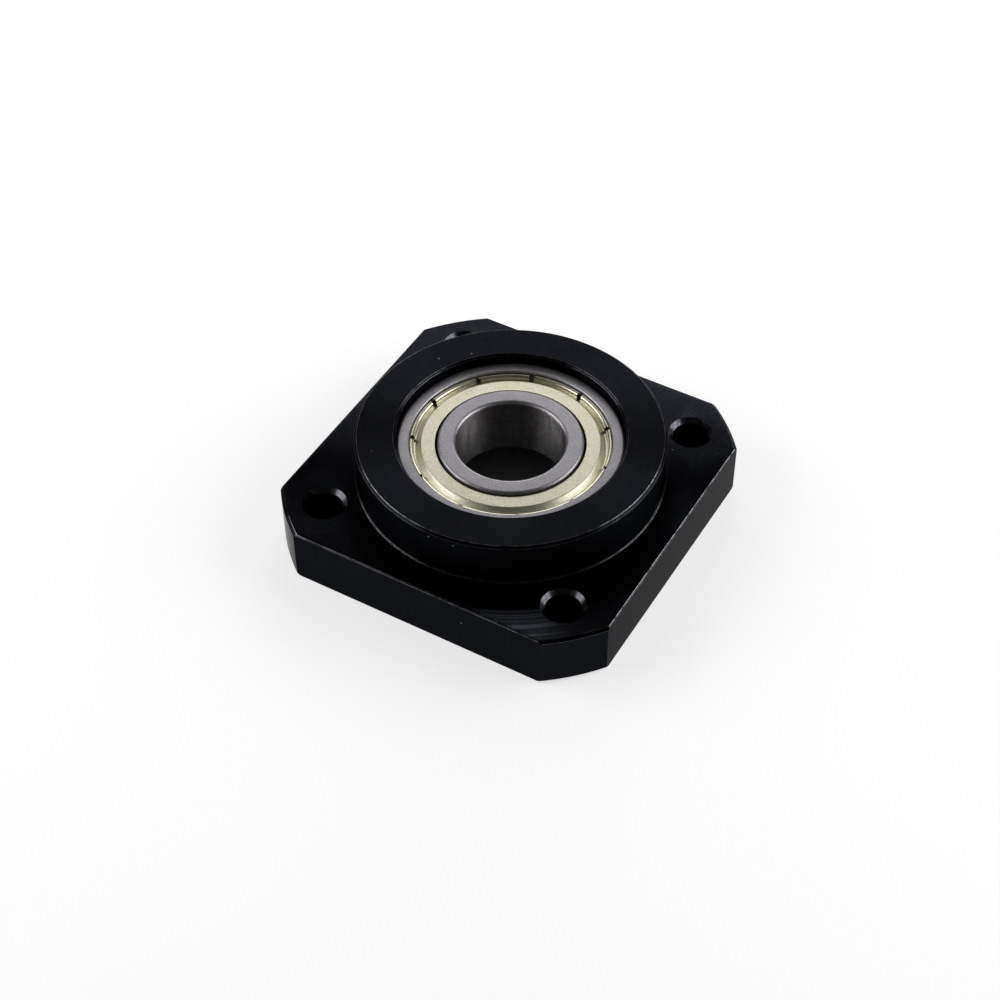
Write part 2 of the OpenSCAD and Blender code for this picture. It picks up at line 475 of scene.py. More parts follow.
def surface_coordinates(tree: bpy.types.NodeTree) -> SurfaceCoordinates:
    """Adds the nodes that every finish starts from.

    Args:
        tree: The material's tree.

    Returns:
        The sockets that they give.
    """
    source = add_node(tree, "ShaderNodeTexCoord").outputs
    place = add_node(
        tree, "ShaderNodeVectorMath", {0: source["Object"], "Scale": 1 / MM}, operation="SCALE"
    ).outputs[0]
    parts = add_node(tree, "ShaderNodeSeparateXYZ", {0: place}).outputs
    flat = add_node(tree, "ShaderNodeCombineXYZ", {"X": parts["X"], "Y": parts["Y"]}).outputs[0]
    radius = add_node(tree, "ShaderNodeVectorMath", {0: flat}, operation="LENGTH").outputs["Value"]
    normal = add_node(tree, "ShaderNodeSeparateXYZ", {0: source["Normal"]}).outputs["Z"]
    facing = add_node(tree, "ShaderNodeMath", {0: normal}, operation="ABSOLUTE").outputs[0]
    slope = add_node(tree, "ShaderNodeMath", {0: normal, 1: 2.0}, operation="POWER").outputs[0]
    middle = add_node(tree, "ShaderNodeMath", {0: slope, 1: 0.5}, operation="SUBTRACT").outputs[0]
    off = add_node(tree, "ShaderNodeMath", {0: middle}, operation="ABSOLUTE").outputs[0]
    off_flat = add_node(
        tree,
        "ShaderNodeMapRange",
        {"Value": off, "From Min": 0.48, "From Max": 0.42},
    ).outputs[0]
    edge = add_node(
        tree,
        "ShaderNodeMapRange",
        {"Value": off, "From Min": 0.03, "From Max": 0.1, "To Max": off_flat},
    ).outputs[0]
    outwards = add_node(tree, "ShaderNodeVectorMath", {0: flat}, operation="NORMALIZE").outputs[0]
    marked = add_node(
        tree,
        "ShaderNodeMix",
        {"Factor": facing, 4: (0.0, 0.0, 1.0), 5: outwards},
        data_type="VECTOR",
    ).outputs[1]
    across = add_node(
        tree,
        "ShaderNodeVectorTransform",
        {0: marked},
        vector_type="VECTOR",
        convert_from="OBJECT",
        convert_to="WORLD",
    ).outputs[0]
    return SurfaceCoordinates(tree, place, radius, parts["Z"], facing, edge, across)


@dataclass(frozen=True)
class Finish:
    """A metal and how its surface was made.

    Real tool marks and grain are some hundredths of a millimetre across, too fine to
    show, so every finish draws them about ten times as coarse.

    Fields:
        name: The real material's name.
        colour: Main colour, sRGB.
        shade: Colour of the darker patches, sRGB.
        roughness: Roughness in the middle of its spread.
        spread: How far the roughness wanders either way.
        lay: How much the tool's marks stretch a highlight.
        mark_pitch: Distance between tool marks, in millimetres.
        mark_depth: Depth of the tool marks, in millimetres.
        grain_size: Size of the surface's grain, in millimetres.
        grain_depth: Depth of the grain, in millimetres.
        edge_tint: Share of the full reflection that is left at a grazing angle.
        cloud_size: Size of the clouds of the darker shade, in millimetres.
        cloud_share: Weight of the clouds beside the grain.
        patch_size: Size of the rougher patches, in millimetres.
    """

    name: str
    colour: str
    shade: str
    roughness: float
    spread: float
    lay: float
    mark_pitch: float
    mark_depth: float
    grain_size: float
    grain_depth: float
    edge_tint: float = 1.0
    cloud_size: float = 2.86
    cloud_share: float = 0.35
    patch_size: float = 1.25

    def material(self) -> bpy.types.Material:
        """Builds the material.

        Returns:
            The finished material.
        """
        made = bpy.data.materials.new(self.name)
        made.use_nodes = True
        tree = made.node_tree
        tree.nodes.clear()
        at = surface_coordinates(tree)
        shader = add_node(
            tree,
            "ShaderNodeBsdfPrincipled",
            {
                "Base Color": self.tone(at),
                "Metallic": 1.0,
                "Roughness": self.smoothness(at),
                "Specular Tint": (self.edge_tint, self.edge_tint, self.edge_tint, 1.0),
                "Anisotropic": self.lay,
                "Tangent": at.across,
                "Normal": self.relief(at),
            },
        )
        add_node(tree, "ShaderNodeOutputMaterial", {"Surface": shader.outputs[0]})
        return made

    def tone(self, at: SurfaceCoordinates) -> Socket:
        """Colour: clouds and grains of the darker shade in the main colour.

        Args:
            at: Where on the piece a point is.

        Returns:
            The colour.
        """
        cloud = add_node(
            at.tree,
            "ShaderNodeTexNoise",
            {"Vector": at.place, "Scale": 1 / self.cloud_size, "Detail": 4.0, "Roughness": 0.6},
        ).outputs["Fac"]
        grain = add_node(
            at.tree,
            "ShaderNodeTexNoise",
            {"Vector": at.place, "Scale": 1 / self.grain_size, "Detail": 1.0, "Roughness": 0.6},
        ).outputs["Fac"]
        both = add_node(
            at.tree,
            "ShaderNodeMath",
            {0: cloud, 1: self.cloud_share, 2: grain},
            operation="MULTIPLY_ADD",
        ).outputs[0]
        share = add_node(
            at.tree,
            "ShaderNodeMapRange",
            {"Value": both, "From Min": 0.45, "From Max": 0.9},
        ).outputs[0]
        return add_node(
            at.tree,
            "ShaderNodeMix",
            {"Factor": share, 6: linear(self.shade), 7: linear(self.colour)},
            data_type="RGBA",
        ).outputs[2]

    def smoothness(self, at: SurfaceCoordinates) -> Socket:
        """Roughness, patchy at the scale of a few millimetres.

        Args:
            at: Where on the piece a point is.

        Returns:
            The roughness.
        """
        patches = add_node(
            at.tree,
            "ShaderNodeTexNoise",
            {"Vector": at.place, "Scale": 1 / self.patch_size, "Detail": 5.0, "Roughness": 0.65},
        ).outputs["Fac"]
        return add_node(
            at.tree,
            "ShaderNodeMapRange",
            {
                "Value": patches,
                "From Min": 0.25,
                "From Max": 0.75,
                "To Min": self.roughness - self.spread,
                "To Max": self.roughness + self.spread,
            },
        ).outputs[0]

    def grain_strength(self, at: SurfaceCoordinates) -> Value:
        """Share of the grain's depth: the same all over."""
        return 1.0

    def relief(self, at: SurfaceCoordinates) -> Socket:
        """Tool marks and grain, as a bent normal.

        Args:
            at: Where on the piece a point is.

        Returns:
            The bent normal.
        """
        across = add_node(
            at.tree,
            "ShaderNodeMix",
            {"Factor": at.facing, 2: at.height, 3: at.radius},
        ).outputs[0]
        marks = add_node(
            at.tree,
            "ShaderNodeTexNoise",
            {"W": across, "Scale": 1 / self.mark_pitch, "Detail": 3.0, "Roughness": 0.6},
            noise_dimensions="1D",
        ).outputs["Fac"]
        grain = add_node(
            at.tree,
            "ShaderNodeTexNoise",
            {"Vector": at.place, "Scale": 1 / self.grain_size, "Detail": 2.0, "Roughness": 0.5},
        ).outputs["Fac"]
        turned = add_node(
            at.tree,
            "ShaderNodeBump",
            {"Height": marks, "Distance": self.mark_depth * MM, "Strength": 1.0},
        ).outputs[0]
        return add_node(
            at.tree,
            "ShaderNodeBump",
            {
                "Height": grain,
                "Distance": self.grain_depth * MM,
                "Strength": self.grain_strength(at),
                "Normal": turned,
            },
        ).outputs[0]


@dataclass(frozen=True)
class OxidisedFinish(Finish):
    """A black oxide coat, with painted shade on its upright faces and edge lines of bare metal and
    painted highlight.

    Fields:
        painted_side_shade: Colour of the upright faces off the boss, darker as a painted shade,
            sRGB.
        painted_wall_shade: Colour of the boss's turned wall, darker still as a painted shade, sRGB.
        bare_and_highlight_colour: Colour of the edge lines, bare metal in part and a painted
            highlight in part, sRGB.
        matt_and_sheen_colour: Colour of the coat where it is thin and matt, and of the painted
            sheen on the tool's arcs, sRGB.
        wear_and_highlight_size: Length of a stretch of edge line, in millimetres.
        nick_size: Distance between the places where a nick can be, in millimetres.
        nick_share: Share of those places that carry one.
        foot_radius: Middle of the round at the boss's foot, in millimetres.
        foot_reach: Half the width of that round, in millimetres.
        foot_share: How much of an edge's line that round takes, as a faint painted highlight.
        flange_roughness: Roughness of the flange, outside the boss.
        arc_sheen_place: Where the last passes of the facing tool show, as a painted sheen.
        arc_sheen_reach: How far from there they fade away.
        pass_width: Distance between those passes, in millimetres.
        mottle_size: Distance between patches of matt specks, in millimetres.
        speck_size: Size of a matt speck, in millimetres.
        step_width: Width of the steps that the facing tool leaves, in millimetres.
        step_depth: Depth of those steps, in millimetres.
    """

    painted_side_shade: str = "#16171B"
    painted_wall_shade: str = "#0E0F12"
    bare_and_highlight_colour: str = "#8A8B90"
    matt_and_sheen_colour: str = "#36393E"
    wear_and_highlight_size: float = 1.5
    nick_size: float = 2.4
    nick_share: float = 0.1
    foot_radius: float = 28.75
    foot_reach: float = 0.3
    foot_share: float = 0.3
    flange_roughness: float = 0.165
    arc_sheen_place: tuple[float, float, float] = (19.5, -31.5, 11.0)
    arc_sheen_reach: float = 10.0
    pass_width: float = 0.91
    mottle_size: float = 9.1
    speck_size: float = 1 / 3
    step_width: float = 1.11
    step_depth: float = 0.006

    def off_boss(self, at: SurfaceCoordinates) -> Socket:
        """1 on the flange and 0 on the boss."""
        return add_node(
            at.tree, "ShaderNodeMath", {0: at.radius, 1: self.foot_radius}, operation="GREATER_THAN"
        ).outputs[0]

    def smoothness(self, at: SurfaceCoordinates) -> Socket:
        """Roughness: the flange was faced with a finer feed than the boss.

        Args:
            at: Where on the piece a point is.

        Returns:
            The roughness.
        """
        boss = super().smoothness(at)
        finer = add_node(
            at.tree,
            "ShaderNodeMath",
            {0: boss, 1: self.flange_roughness - self.roughness},
            operation="ADD",
        ).outputs[0]
        return add_node(
            at.tree, "ShaderNodeMix", {"Factor": self.off_boss(at), 2: boss, 3: finer}
        ).outputs[0]

    def edge_wear_and_highlight(self, at: SurfaceCoordinates) -> Socket:
        """Lighter lines along the edges, from 0 to 1: partly bare metal, partly painted highlight.

        Args:
            at: Where on the piece a point is.

        Returns:
            The share of the lighter edge colour.
        """
        wear_and_highlight_noise = add_node(
            at.tree,
            "ShaderNodeTexNoise",
            {"Vector": at.place, "Scale": 1 / self.wear_and_highlight_size, "Detail": 6.0, "Roughness": 0.75},
        ).outputs["Fac"]
        wear_and_highlight_share = add_node(
            at.tree,
            "ShaderNodeMapRange",
            {"Value": wear_and_highlight_noise, "From Min": 0.38, "From Max": 0.56, "To Min": 0.15, "To Max": 1.0},
        ).outputs[0]
        # The round at the boss's foot keeps only a faint line: a painted highlight.
        foot = add_node(
            at.tree,
            "ShaderNodeMath",
            {0: at.radius, 1: self.foot_radius, 2: self.foot_reach},
            operation="COMPARE",
        ).outputs[0]
        share = add_node(
            at.tree,
            "ShaderNodeMath",
            {0: foot, 1: self.foot_share - 1.0, 2: 1.0},
            operation="MULTIPLY_ADD",
        ).outputs[0]
        line = add_node(
            at.tree, "ShaderNodeMath", {0: at.edge, 1: share}, operation="MULTIPLY"
        ).outputs[0]
        return add_node(
            at.tree, "ShaderNodeMath", {0: line, 1: wear_and_highlight_share}, operation="MULTIPLY"
        ).outputs[0]

    def nicked(self, at: SurfaceCoordinates) -> Socket:
        """A few bare nicks, from 0 to 1.

        Args:
            at: Where on the piece a point is.

        Returns:
            The share of bare metal.
        """
        spots = add_node(
            at.tree, "ShaderNodeTexVoronoi", {"Vector": at.place, "Scale": 1 / self.nick_size}
        )
        near = add_node(
            at.tree,
            "ShaderNodeMapRange",
            {
                "Value": spots.outputs["Distance"],
                "From Min": 0.07,
                "From Max": 0.03,
            },
        ).outputs[0]
        few = add_node(at.tree, "ShaderNodeSeparateColor", {0: spots.outputs["Color"]}).outputs[0]
        chosen = add_node(
            at.tree, "ShaderNodeMath", {0: few, 1: 1.0 - self.nick_share}, operation="GREATER_THAN"
        ).outputs[0]
        return add_node(
            at.tree, "ShaderNodeMath", {0: near, 1: chosen}, operation="MULTIPLY"
        ).outputs[0]

    def tool_arcs_and_sheen(self, at: SurfaceCoordinates) -> Socket:
        """Thin arcs that the facing tool's last passes left, drawn lighter near one place as a
        painted sheen, from 0 to 1.

        Args:
            at: Where on the piece a point is.

        Returns:
            The share of the lighter colour.
        """
        passes = add_node(
            at.tree,
            "ShaderNodeTexNoise",
            {"W": at.radius, "Scale": 1 / self.pass_width, "Detail": 2.0, "Roughness": 0.6},
            noise_dimensions="1D",
        ).outputs["Fac"]
        arcs = add_node(
            at.tree,
            "ShaderNodeMapRange",
            {"Value": passes, "From Min": 0.52, "From Max": 0.62},
        ).outputs[0]
        # The arcs show only near one place and on faces that look up: a painted sheen.
        away = add_node(
            at.tree,
            "ShaderNodeVectorMath",
            {0: at.place, 1: self.arc_sheen_place},
            operation="DISTANCE",
        ).outputs["Value"]
        near = add_node(
            at.tree,
            "ShaderNodeMapRange",
            {
                "Value": away,
                "From Min": self.arc_sheen_reach,
                "From Max": 0.4 * self.arc_sheen_reach,
            },
        ).outputs[0]
        level = add_node(at.tree, "ShaderNodeMath", {0: at.facing, 1: 8.0}, operation="POWER")
        shown = add_node(
            at.tree, "ShaderNodeMath", {0: near, 1: level.outputs[0]}, operation="MULTIPLY"
        ).outputs[0]
        return add_node(
            at.tree, "ShaderNodeMath", {0: arcs, 1: shown}, operation="MULTIPLY"
        ).outputs[0]

    def mottled(self, at: SurfaceCoordinates) -> Socket:
        """Matt specks in patches on the flange, from 0 to 1.

        Args:
            at: Where on the piece a point is.

        Returns:
            The share of the dull colour.
        """
        patches = add_node(
            at.tree,
            "ShaderNodeTexNoise",
            {"Vector": at.place, "Scale": 1 / self.mottle_size, "Detail": 2.0, "Roughness": 0.5},
        ).outputs["Fac"]
        patch = add_node(
            at.tree,
            "ShaderNodeMapRange",
            {"Value": patches, "From Min": 0.5, "From Max": 0.62},
        ).outputs[0]
        shown = add_node(
            at.tree, "ShaderNodeMath", {0: patch, 1: self.off_boss(at)}, operation="MULTIPLY"
        ).outputs[0]
        specks = add_node(
            at.tree,
            "ShaderNodeTexNoise",
            {"Vector": at.place, "Scale": 1 / self.speck_size, "Detail": 2.0, "Roughness": 0.7},
        ).outputs["Fac"]
        return add_node(
            at.tree,
            "ShaderNodeMapRange",
            {"Value": specks, "From Min": 0.5, "From Max": 0.62, "To Max": shown},
        ).outputs[0]

    def tone(self, at: SurfaceCoordinates) -> Socket:
        """Colour: the coat, its matt specks, tool arcs with a painted sheen, painted shade on the
        upright faces, and edge lines of bare metal and painted highlight.

        Args:
            at: Where on the piece a point is.

        Returns:
            The colour.
        """
        coat = super().tone(at)
        # Lighter colour: matt specks in patches, and a painted sheen on the tool's arcs.
        dull = add_node(
            at.tree,
            "ShaderNodeMath",
            {0: self.tool_arcs_and_sheen(at), 1: self.mottled(at)},
            operation="MAXIMUM",
        ).outputs[0]
        matt = add_node(
            at.tree,
            "ShaderNodeMix",
            {"Factor": dull, 6: coat, 7: linear(self.matt_and_sheen_colour)},
            data_type="RGBA",
        ).outputs[2]
        # Faces that stand upright are painted darker, darkest on the boss: a painted shade.
        wall, side = linear(self.painted_wall_shade), linear(self.painted_side_shade)
        upright = add_node(
            at.tree,
            "ShaderNodeMix",
            {"Factor": self.off_boss(at), 6: wall, 7: side},
            data_type="RGBA",
        ).outputs[2]
        sides = add_node(
            at.tree,
            "ShaderNodeMix",
            {"Factor": at.facing, 6: upright, 7: matt},
            data_type="RGBA",
        ).outputs[2]
        # Lighter edges and nicks: bare metal, with a painted highlight along the edges.
        bare = add_node(
            at.tree,
            "ShaderNodeMath",
            {0: self.edge_wear_and_highlight(at), 1: self.nicked(at)},
            operation="MAXIMUM",
        ).outputs[0]
        return add_node(
            at.tree,
            "ShaderNodeMix",
            {"Factor": bare, 6: sides, 7: linear(self.bare_and_highlight_colour)},
            data_type="RGBA",
        ).outputs[2]

    def relief(self, at: SurfaceCoordinates) -> Socket:
        """Adds to the marks and grain the wide steps that the facing tool leaves.

        Args:
            at: Where on the piece a point is.

        Returns:
            The bent normal.
        """
        fine = super().relief(at)
        steps = add_node(
            at.tree,
            "ShaderNodeTexNoise",
            {"W": at.radius, "Scale": 1 / self.step_width, "Detail": 1.0, "Roughness": 0.4},
            noise_dimensions="1D",
        ).outputs["Fac"]
        return add_node(
            at.tree,
            "ShaderNodeBump",
            {"Height": steps, "Distance": self.step_depth * MM, "Strength": 1.0, "Normal": fine},
        ).outputs[0]


@dataclass(frozen=True)
class CurledFinish(Finish):
    """A pressed sheet whose curled rim is burnished by the tool that curled it.

    Fields:
        rim_radius: Where the curled rim starts, in millimetres.
        rim_blend: How far out from there it is burnished all over, in millimetres.
        rim_roughness: Roughness of the rim.
        rim_grain: Share of the grain's depth that is left on the rim.
    """

    rim_radius: float = 17.5
    rim_blend: float = 0.2
    rim_roughness: float = 0.24
    rim_grain: float = 0.15

    def on_rim(self, at: SurfaceCoordinates) -> Socket:
        """Tells the rim from the rest of the sheet.

        Args:
            at: Where on the piece a point is.

        Returns:
            0 on the sheet, rising to 1 on its rim.
        """
        start, end = self.rim_radius, self.rim_radius + self.rim_blend
        return add_node(
            at.tree, "ShaderNodeMapRange", {"Value": at.radius, "From Min": start, "From Max": end}
        ).outputs[0]

    def smoothness(self, at: SurfaceCoordinates) -> Socket:
        """Roughness, lower on the rim.

        Args:
            at: Where on the piece a point is.

        Returns:
            The roughness.
        """
        sheet = super().smoothness(at)
        return add_node(
            at.tree,
            "ShaderNodeMix",
            {"Factor": self.on_rim(at), 2: sheet, 3: self.rim_roughness},
        ).outputs[0]

    def grain_strength(self, at: SurfaceCoordinates) -> Value:
        """Share of the grain's depth, which the tool pressed flat on the rim."""
        return add_node(
            at.tree, "ShaderNodeMix", {"Factor": self.on_rim(at), 2: 1.0, 3: self.rim_grain}
        ).outputs[0]


@dataclass(frozen=True)
class HonedFinish(Finish):
    """A honed bore, with streaks along its axis.

    Fields:
        streak_width: Width of a streak round the bore, in millimetres.
        streak_stretch: How many times longer than wide a streak is.
    """

    streak_width: float = 0.8
    streak_stretch: float = 7.0

    def smoothness(self, at: SurfaceCoordinates) -> Socket:
        """Roughness, streaked along the bore.

        Args:
            at: Where on the piece a point is.

        Returns:
            The roughness.
        """
        drawn = add_node(
            at.tree,
            "ShaderNodeVectorMath",
            {0: at.place, 1: (1.0, 1.0, 1 / self.streak_stretch)},
            operation="MULTIPLY",
        ).outputs[0]
        streaks = add_node(
            at.tree,
            "ShaderNodeTexNoise",
            {"Vector": drawn, "Scale": 1 / self.streak_width, "Detail": 4.0, "Roughness": 0.7},
        ).outputs["Fac"]
        return add_node(
            at.tree,
            "ShaderNodeMapRange",
            {
                "Value": streaks,
                "From Min": 0.3,
                "From Max": 0.7,
                "To Min": self.roughness - self.spread,
                "To Max": self.roughness + self.spread,
            },
        ).outputs[0]


# Black-oxidised carbon steel, turned and milled: nearly black with a blue cast, a satin
# gloss that the turning marks stretch, and thin grey lines along the edges that are partly
# bare metal and partly painted highlight. Its upright faces are painted darker as shade.
BLACK_OXIDE = OxidisedFinish(
    "black_oxidised_turned_steel",
    colour="#202126",
    shade="#191A1F",
    roughness=0.3,
    spread=0.02,
    lay=1.0,
    mark_pitch=0.45,
    mark_depth=0.001,
    grain_size=0.45,
    grain_depth=0.002,
    edge_tint=0.5,
)
# The same coat where the countersink cut through it: a thinner black that glints.
DRILLED_EDGE = Finish(
    "black_oxidised_countersunk_edge",
    colour="#595A60",
    shade="#3A3B41",
    roughness=0.21,
    spread=0.04,
    lay=0.0,
    mark_pitch=0.4,
    mark_depth=0.001,
    grain_size=0.5,
    grain_depth=0.004,
)
# Chromium bearing steel, ground: an even silver grey with fine marks round the axis.
GROUND_STEEL = Finish(
    "ground_bearing_steel",
    colour="#B5B2B6",
    shade="#8F8C93",
    roughness=0.42,
    spread=0.05,
    lay=0.3,
    mark_pitch=0.3,
    mark_depth=0.001,
    grain_size=0.3,
    grain_depth=0.009,
)
# The same steel, honed in the bore: streaks along the screw's axis, and a sheen that the
# honing marks, which run round the bore, stretch up and down it.
HONED_STEEL = HonedFinish(
    "honed_bearing_steel",
    colour="#AEABAD",
    shade="#7B787A",
    roughness=0.35,
    spread=0.05,
    lay=0.96,
    mark_pitch=0.3,
    mark_depth=0.0006,
    grain_size=0.3,
    grain_depth=0.03,
)
# Pressed steel sheet, pale yellow zinc plated: a creamy sheen with a fine grain, which the
# curled rim has lost.
ZINC_SHEET = CurledFinish(
    "yellow_zinc_plated_sheet",
    colour="#ECE8D5",
    shade="#CFCBB2",
    roughness=0.37,
    spread=0.04,
    lay=0.0,
    mark_pitch=0.6,
    mark_depth=0.001,
    grain_size=0.28,
    grain_depth=0.03,
)
# Pressed low-carbon strip, tumbled: a soft grey with rubbed high spots.
TUMBLED_STRIP = Finish(
    "tumbled_steel_strip",
    colour="#A9A9AC",
    shade="#929296",
    roughness=0.38,
    spread=0.08,
    lay=0.0,
    mark_pitch=0.6,
    mark_depth=0.001,
    grain_size=0.3,
    grain_depth=0.002,
)
# Chromium steel balls, hardened and lapped: a near mirror.
LAPPED_BALL = Finish(
    "lapped_ball_steel",
    colour="#D2D2D6",
    shade="#CACACF",
    roughness=0.08,
    spread=0.02,
    lay=0.0,
    mark_pitch=0.5,
    mark_depth=0.0001,
    grain_size=0.4,
    grain_depth=0.0001,
)


# ---- Pieces ----


class Workshop:
    """The tools and the finishes, each made once, and how a mesh becomes a piece."""

    def __init__(self) -> None:
        """Sets up the Geometry Nodes tools."""
        self.lathe = Lathe()
        self.dividing_head = DividingHead()
        self._materials: dict[str, bpy.types.Material] = {}

    def material(self, finish: Finish) -> bpy.types.Material:
        """Gives the material of a finish, made when first asked for.

        Args:
            finish: The finish.

        Returns:
            Its material.
        """
        if finish.name not in self._materials:
            self._materials[finish.name] = finish.material()
        return self._materials[finish.name]

    def finished_piece(
        self,
        name: str,
        mesh: bpy.types.Mesh,
        finish: Finish,
        slot: Slot,
        body: Body,
        *nodes: str,
    ) -> bpy.types.Object:
        """Makes a mesh a finished piece that stands for its CAD nodes.

        Args:
            name: Name of the piece.
            mesh: Its closed mesh.
            finish: Its finish.
            slot: Material slot of the imported record; not used.
            body: Body that it moves with.
            *nodes: CAD nodes that it stands for.

        Returns:
            The piece.
        """
        mesh.shade_smooth()
        mesh.set_sharp_from_angle(angle=SHARP_ANGLE)
        host = host_of(mesh)
        weighted = host.modifiers.new("Face weighted normals", "WEIGHTED_NORMAL")
        weighted.keep_sharp = True
        mesh = plain_mesh(host)
        mesh.name = name
        mesh.materials.clear()
        mesh.materials.append(self.material(finish))
        for face in mesh.polygons:
            face.material_index = 0
        piece = host_of(mesh)
        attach(piece, body.value)
        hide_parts(*nodes)
        LOG.info("%s: %d faces on %s, %s", name, len(mesh.polygons), body.value, finish.name)
        return piece

    def refinish(
        self,
        piece: bpy.types.Object,
        finish: Finish,
        chosen: Callable[[bpy.types.MeshPolygon], bool],
    ) -> None:
        """Gives some faces of a piece a finish of their own.

        Args:
            piece: A finished piece.
            finish: The finish of those faces.
            chosen: Says whether a face is one of them.
        """
        materials = piece.data.materials
        materials.append(self.material(finish))
        for face in piece.data.polygons:
            if chosen(face):
                face.material_index = len(materials) - 1


@dataclass(frozen=True)
class Housing:
    """Square flanged housing with a pilot boss, a bearing seat and four screw holes.

    Fields:
        half_width: From the axis to a milled side.
        length: Height of the boss's face.
        boss_radius: Radius of the boss.
        hole_circle_radius: From the axis to the middle of a screw hole.
        hole_radius: Radius of a screw hole.
        seat_floor: Height of the shoulder that the bearing stands on.
        bearing_radius: Outer radius of the bearing.
        flange_thickness: Height of the flange's front face.
        rim_margin: From the holes' circle out to the turned corners.
        side_chamfer: Chamfer along the milled sides.
        corner_chamfer: Chamfer on the turned corners.
        boss_chamfer: Chamfer on the boss's edge.
        foot_fillet: Radius at the boss's foot.
        seat_gap: Radial gap between the bearing and its seat.
        seat_shoulder: Width of the shoulder.
        seat_chamfer: Chamfer at the mouths of the seat and of the bore behind it.
        hole_chamfer: Chamfer at the mouth of a screw hole.
        counterbore_radius: Radius of a counterbore.
        counterbore_depth: Depth of a counterbore below the back face.
        edge_break: Radius of an edge that is only broken.
        edge_round: Radius of an edge that handling has rounded.
        overrun: How far a cutter runs past the faces that it opens.
    """

    half_width: float
    length: float
    boss_radius: float
    hole_circle_radius: float
    hole_radius: float
    seat_floor: float
    bearing_radius: float
    flange_thickness: float = 11.0
    rim_margin: float = 7.5
    side_chamfer: float = 0.2
    corner_chamfer: float = 0.6
    boss_chamfer: float = 0.5
    foot_fillet: float = 0.4
    seat_gap: float = 0.01
    seat_shoulder: float = 3.0
    seat_chamfer: float = 0.35
    hole_chamfer: float = 0.8
    counterbore_radius: float = 5.5
    counterbore_depth: float = 6.5
    edge_break: float = 0.08
    edge_round: float = 0.2
    overrun: float = 1.0

    @classmethod
    def in_frame(cls) -> "Housing":
        """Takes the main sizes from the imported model.

        Returns:
            The housing.
        """
        _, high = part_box("housing")
        floor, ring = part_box("outer_ring")
        boss, holes = mount_of("pilot_boss")["dims"], mount_of("screw_holes")["dims"]
        return cls(
            half_width=high.x / MM,
            length=high.z / MM,
            boss_radius=boss["r_mm"],
            hole_circle_radius=holes["pcd_mm"] / 2,
            hole_radius=holes["hole_r_mm"],
            seat_floor=floor.z / MM,
            bearing_radius=ring.x / MM,
        )

    @property
    def corner_radius(self) -> float:
        """Radius of the turned corners."""
        return self.hole_circle_radius + self.rim_margin

    def section(self) -> list[Point]:
        """Draws the turned blank: flange disc, boss, seat and back bore.

        Returns:
            The section's points.
        """
        rim, top, thick = self.corner_radius, self.length, self.flange_thickness
        cut, chamfer = self.corner_chamfer, self.seat_chamfer
        small, soft = self.edge_break, self.edge_round
        seat = self.bearing_radius + self.seat_gap
        back_bore = self.bearing_radius - self.seat_shoulder
        return rounded(
            [
                (back_bore + chamfer, 0, small),
                (rim - cut, 0, small),
                (rim, cut, small),
                (rim, thick - cut, small),
                (rim - cut, thick, soft),
                (self.boss_radius, thick, self.foot_fillet),
                (self.boss_radius, top - self.boss_chamfer, small),
                (self.boss_radius - self.boss_chamfer, top, soft),
                (seat + chamfer, top, small),
                (seat, top - chamfer, small),
                (seat, self.seat_floor, 0),
                (back_bore, self.seat_floor, small),
                (back_bore, chamfer, small),
            ]
        )

    def side_cutter(self) -> bpy.types.Mesh:
        """Makes what is milled off one side of the flange, with the chamfers on its edges.

        Returns:
            The cutter, beside the flange at angle zero.
        """
        cut, over, thick = self.side_chamfer, self.overrun, self.flange_thickness
        inner, outer, soft = self.half_width, self.corner_radius + over, self.edge_round
        outline = rounded(
            [
                (inner, cut, soft),
                (inner - cut, 0, soft),
                (inner - cut - over, 0, 0),
                (inner - cut - over, -over, 0),
                (outer, -over, 0),
                (outer, thick + over, 0),
                (inner - cut - over, thick + over, 0),
                (inner - cut - over, thick, 0),
                (inner - cut, thick, soft),
                (inner, thick - cut, soft),
            ],
            steps=3,
        )
        reach = math.sqrt(self.corner_radius**2 - (inner - cut - over) ** 2) + over
        return prism("side cutter", outline, -reach, reach, along=Axis.Y)

    def hole_cutter(self, lathe: Lathe) -> bpy.types.Mesh:
        """Makes a clearance hole with its chamfer and its counterbore.

        Args:
            lathe: Turns the cutter.

        Returns:
            The cutter, in its place at angle zero.
        """
        thick, over = self.flange_thickness, self.overrun
        outline = [
            (0, -over),
            (self.counterbore_radius, -over),
            (self.counterbore_radius, self.counterbore_depth),
            (self.hole_radius, self.counterbore_depth),
            (self.hole_radius, thick - self.hole_chamfer),
            (self.hole_radius + self.hole_chamfer + over, thick + over),
            (0, thick + over),
        ]
        drill = lathe.turn("hole cutter", outline, steps=96)
        for vertex in drill.vertices:
            vertex.co.x += self.hole_circle_radius * MM
        return drill

    def is_hole_chamfer(self, face: bpy.types.MeshPolygon) -> bool:
        """Says whether a face lies on the chamfer of a screw hole.

        Args:
            face: A face of the finished housing.

        Returns:
            True on a face that slopes and lies by a hole.
        """
        place = self.hole_circle_radius / math.sqrt(2)
        off_hole = Vector((abs(face.center.x) / MM - place, abs(face.center.y) / MM - place))
        slope = math.degrees(math.acos(min(1.0, abs(face.normal.z))))
        reach = self.hole_radius + self.hole_chamfer
        return face.normal.z > 0 and 30 < slope < 60 and off_hole.length < reach

    def build(self, shop: Workshop) -> None:
        """Turns the blank, mills the four sides and drills the four holes.

        Args:
            shop: Its tools and finishes.
        """
        head = shop.dividing_head
        blank = shop.lathe.turn("housing blank", self.section(), steps=384)
        square = carved(blank, head.repeat(self.side_cutter(), 4))
        drilled = carved(square, head.repeat(self.hole_cutter(shop.lathe), 4, turn=45))
        shell = shop.finished_piece(
            "housing_shell", drilled, BLACK_OXIDE, Slot.OXIDE, Body.HOUSING, "housing"
        )
        shop.refinish(shell, DRILLED_EDGE, self.is_hole_chamfer)


